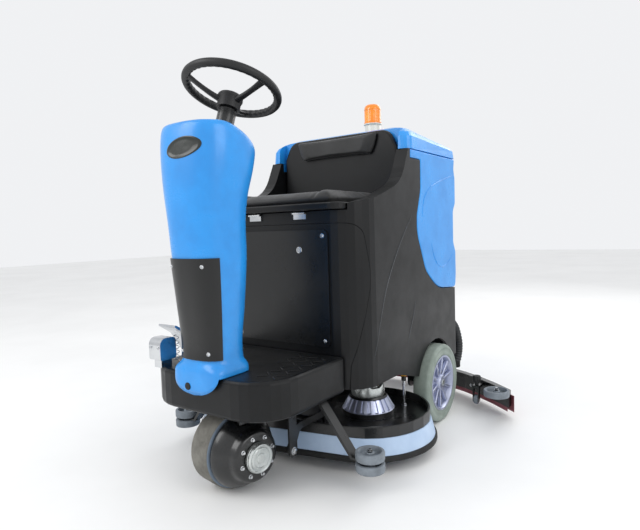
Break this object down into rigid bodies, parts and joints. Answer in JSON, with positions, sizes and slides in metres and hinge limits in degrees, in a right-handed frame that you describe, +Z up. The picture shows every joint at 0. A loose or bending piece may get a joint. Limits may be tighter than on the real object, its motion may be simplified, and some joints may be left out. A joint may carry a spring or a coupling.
{
  "type": "ride-on floor scrubber",
  "caption": "Compact ride-on floor scrubber with tall steering column, seat on a black body, blue recovery tank, skirted brush deck in front of the rear wheels and curved rear squeegee.",
  "frame": {"origin": "on the floor under the middle of the overall bounding box", "axes": "+Z up, -Y is the way the driver faces, +X is the driver's left side"},
  "size_m": [1.136, 1.404, 1.282],
  "materials": {
    "black_plastic": "fine moulded texture, satin",
    "blue_plastic": "rotomoulded, semi-gloss",
    "grip_plastic": "fine grained",
    "painted_steel": "powder coated, semi-gloss",
    "bright_steel": "zinc plated or brushed",
    "cast_aluminium": "machined casting",
    "grey_tyre": "non-marking, smooth",
    "front_tyre": "non-marking, worn",
    "grey_rubber": "matte",
    "black_rubber": "matte",
    "pale_skirt": "semi-gloss",
    "vinyl": "vinyl cover, fine grain",
    "amber": "clear amber lens",
    "clear_base": "pale lens base",
    "red_blade": "smooth polyurethane blade",
    "brush_fibre": "nylon bristle",
    "red_button": "gloss",
    "battery_case": "moulded"
  },
  "bodies": {
    "chassis": {"chassis_frame": "painted_steel", "front_platform": "black_plastic", "front_shell": "black_plastic", "rear_shell": "black_plastic", "battery_door": "black_plastic", "column_cover": "blue_plastic", "access_plate": "black_plastic", "dashboard": "grip_plastic", "recovery_tank": "blue_plastic", "backrest_panel": "black_plastic", "backrest_pad": "vinyl", "battery_pack": "battery_case", "vacuum_motor": "painted_steel", "drain_hose": "grey_rubber", "seat_hinge_left": "bright_steel", "seat_hinge_right": "bright_steel", "pedal_box": "bright_steel"},
    "steering": {"steering_wheel": "grip_plastic", "steering_shaft": "painted_steel"},
    "pinion": {"steering_pinion": "bright_steel"},
    "fork": {"fork_yoke": "painted_steel", "drive_motor": "painted_steel", "motor_cap": "bright_steel"},
    "drive_wheel": {"drive_tyre": "front_tyre", "drive_rim": "cast_aluminium"},
    "rear_wheel_left": {"rear_tyre_left": "grey_tyre", "rear_rim_left": "cast_aluminium"},
    "rear_wheel_right": {"rear_tyre_right": "grey_tyre", "rear_rim_right": "cast_aluminium"},
    "seat": {"seat_base": "black_plastic", "seat_cushion": "vinyl"},
    "lid": {"tank_lid": "blue_plastic", "beacon_base": "clear_base", "beacon_lens": "amber"},
    "deck_arm": {"deck_arm": "painted_steel"},
    "deck": {"deck_plate": "painted_steel", "deck_skirt": "pale_skirt", "deck_lip": "black_rubber", "gear_motor_left": "cast_aluminium", "gear_motor_right": "cast_aluminium"},
    "brush_left": {"brush_left": "brush_fibre"},
    "brush_right": {"brush_right": "brush_fibre"},
    "bumper_upper_left": {"bumper_roller_upper_left": "grey_rubber"},
    "bumper_lower_left": {"bumper_roller_lower_left": "grey_rubber"},
    "bumper_upper_right": {"bumper_roller_upper_right": "grey_rubber"},
    "bumper_lower_right": {"bumper_roller_lower_right": "grey_rubber"},
    "squeegee_arm": {"squeegee_arm": "painted_steel"},
    "squeegee": {"squeegee_beam": "painted_steel", "squeegee_blade_front": "red_blade", "squeegee_blade_rear": "red_blade", "suction_hose": "grey_rubber"},
    "squeegee_roller_left": {"squeegee_roller_left": "grey_rubber"},
    "squeegee_roller_right": {"squeegee_roller_right": "grey_rubber"},
    "support_wheel_left": {"support_wheel_left": "grey_rubber"},
    "support_wheel_right": {"support_wheel_right": "grey_rubber"},
    "squeegee_knob_left": {"squeegee_knob_left": "grip_plastic"},
    "squeegee_knob_right": {"squeegee_knob_right": "grip_plastic"},
    "pedal": {"pedal_plate": "bright_steel"},
    "key": {"key_switch": "bright_steel"},
    "stop": {"stop_button": "red_button"}
  },
  "joints": [
    {"name": "fork_steer", "type": "hinge", "parent": "chassis", "child": "fork", "pos_m": [0, -0.53814, 0.27], "axis": [0, 0, 1], "range_deg": [-40, 60]},
    {"name": "steering_turn", "type": "hinge", "parent": "chassis", "child": "steering", "pos_m": [0, -0.47814, 1.1785], "axis": [0, 0.3371, 0.9415], "range_deg": [-120, 180]},
    {"name": "pinion_turn", "type": "hinge", "parent": "chassis", "child": "pinion", "pos_m": [0, -0.62414, 0.32], "axis": [0, 0, 1], "range_deg": [-120, 180]},
    {"name": "drive_spin", "type": "hinge", "parent": "fork", "child": "drive_wheel", "pos_m": [0, -0.53814, 0.1165], "axis": [0.9842, -0.1771, 0], "continuous": true},
    {"name": "rear_spin_left", "type": "hinge", "parent": "chassis", "child": "rear_wheel_left", "pos_m": [0.314, 0.26586, 0.149], "axis": [1, 0, 0], "continuous": true},
    {"name": "rear_spin_right", "type": "hinge", "parent": "chassis", "child": "rear_wheel_right", "pos_m": [-0.314, 0.26586, 0.149], "axis": [1, 0, 0], "continuous": true},
    {"name": "seat_flip", "type": "hinge", "parent": "chassis", "child": "seat", "pos_m": [0, -0.29864, 0.812], "axis": [1, 0, 0], "range_deg": [0, 75]},
    {"name": "lid_open", "type": "hinge", "parent": "chassis", "child": "lid", "pos_m": [0, 0.50986, 1.034], "axis": [-1, 0, 0], "range_deg": [0, 80]},
    {"name": "deck_lift", "type": "hinge", "parent": "chassis", "child": "deck_arm", "pos_m": [0, -0.45414, 0.105], "axis": [1, 0, 0], "range_deg": [-10, 0]},
    {"name": "deck_level", "type": "hinge", "parent": "deck_arm", "child": "deck", "pos_m": [0, -0.25414, 0.165], "axis": [1, 0, 0], "range_deg": [0, 10]},
    {"name": "brush_spin_left", "type": "hinge", "parent": "deck", "child": "brush_left", "pos_m": [0.2059, -0.08037, 0.09], "axis": [0, 0, 1], "continuous": true},
    {"name": "brush_spin_right", "type": "hinge", "parent": "deck", "child": "brush_right", "pos_m": [-0.2059, -0.16791, 0.09], "axis": [0, 0, 1], "continuous": true},
    {"name": "bumper_spin_upper_left", "type": "hinge", "parent": "chassis", "child": "bumper_upper_left", "pos_m": [0.378, -0.36914, 0.108], "axis": [0, 0, 1], "continuous": true},
    {"name": "bumper_spin_lower_left", "type": "hinge", "parent": "chassis", "child": "bumper_lower_left", "pos_m": [0.378, -0.36914, 0.075], "axis": [0, 0, 1], "continuous": true},
    {"name": "bumper_spin_upper_right", "type": "hinge", "parent": "chassis", "child": "bumper_upper_right", "pos_m": [-0.378, -0.38814, 0.108], "axis": [0, 0, 1], "continuous": true},
    {"name": "bumper_spin_lower_right", "type": "hinge", "parent": "chassis", "child": "bumper_lower_right", "pos_m": [-0.378, -0.38814, 0.075], "axis": [0, 0, 1], "continuous": true},
    {"name": "squeegee_lift", "type": "hinge", "parent": "chassis", "child": "squeegee_arm", "pos_m": [0, -0.00414, 0.232], "axis": [1, 0, 0], "range_deg": [-1.7, 2], "deforming": ["suction_hose"]},
    {"name": "squeegee_swing", "type": "hinge", "parent": "squeegee_arm", "child": "squeegee", "pos_m": [0, 0.60786, 0.12], "axis": [0, 0, 1], "range_deg": [-12, 12], "deforming": ["suction_hose"]},
    {"name": "squeegee_roller_spin_left", "type": "hinge", "parent": "squeegee", "child": "squeegee_roller_left", "pos_m": [0.52, 0.35586, 0.11], "axis": [0, 0, 1], "continuous": true},
    {"name": "support_spin_left", "type": "hinge", "parent": "squeegee", "child": "support_wheel_left", "pos_m": [0.405, 0.46186, 0.0365], "axis": [1, 0, 0], "continuous": true},
    {"name": "knob_turn_left", "type": "hinge", "parent": "squeegee", "child": "squeegee_knob_left", "pos_m": [0.405, 0.46786, 0.115], "axis": [0, 0, 1], "continuous": true},
    {"name": "squeegee_roller_spin_right", "type": "hinge", "parent": "squeegee", "child": "squeegee_roller_right", "pos_m": [-0.52, 0.35586, 0.11], "axis": [0, 0, 1], "continuous": true},
    {"name": "support_spin_right", "type": "hinge", "parent": "squeegee", "child": "support_wheel_right", "pos_m": [-0.405, 0.46186, 0.0365], "axis": [1, 0, 0], "continuous": true},
    {"name": "knob_turn_right", "type": "hinge", "parent": "squeegee", "child": "squeegee_knob_right", "pos_m": [-0.405, 0.46786, 0.115], "axis": [0, 0, 1], "continuous": true},
    {"name": "pedal_press", "type": "hinge", "parent": "chassis", "child": "pedal", "pos_m": [-0.1675, -0.52414, 0.374], "axis": [1, 0, 0], "range_deg": [0, 8], "stiffness_Nm_per_rad": 12, "springref_deg": -6.88},
    {"name": "key_turn", "type": "hinge", "parent": "chassis", "child": "key", "pos_m": [-0.062, -0.52877, 0.97583], "axis": [0, 0.3371, 0.9415], "range_deg": [0, 90]},
    {"name": "stop_press", "type": "slide", "parent": "chassis", "child": "stop", "axis": [0, -0.3371, -0.9415], "range_m": [0, 0.005], "stiffness_N_per_m": 600, "springref_m": -0.004}
  ],
  "couplings": [
    {"joint": "steering_turn", "follows": "fork_steer", "ratio": 3},
    {"joint": "pinion_turn", "follows": "fork_steer", "ratio": 3},
    {"joint": "deck_level", "follows": "deck_lift", "ratio": -1}
  ]
}
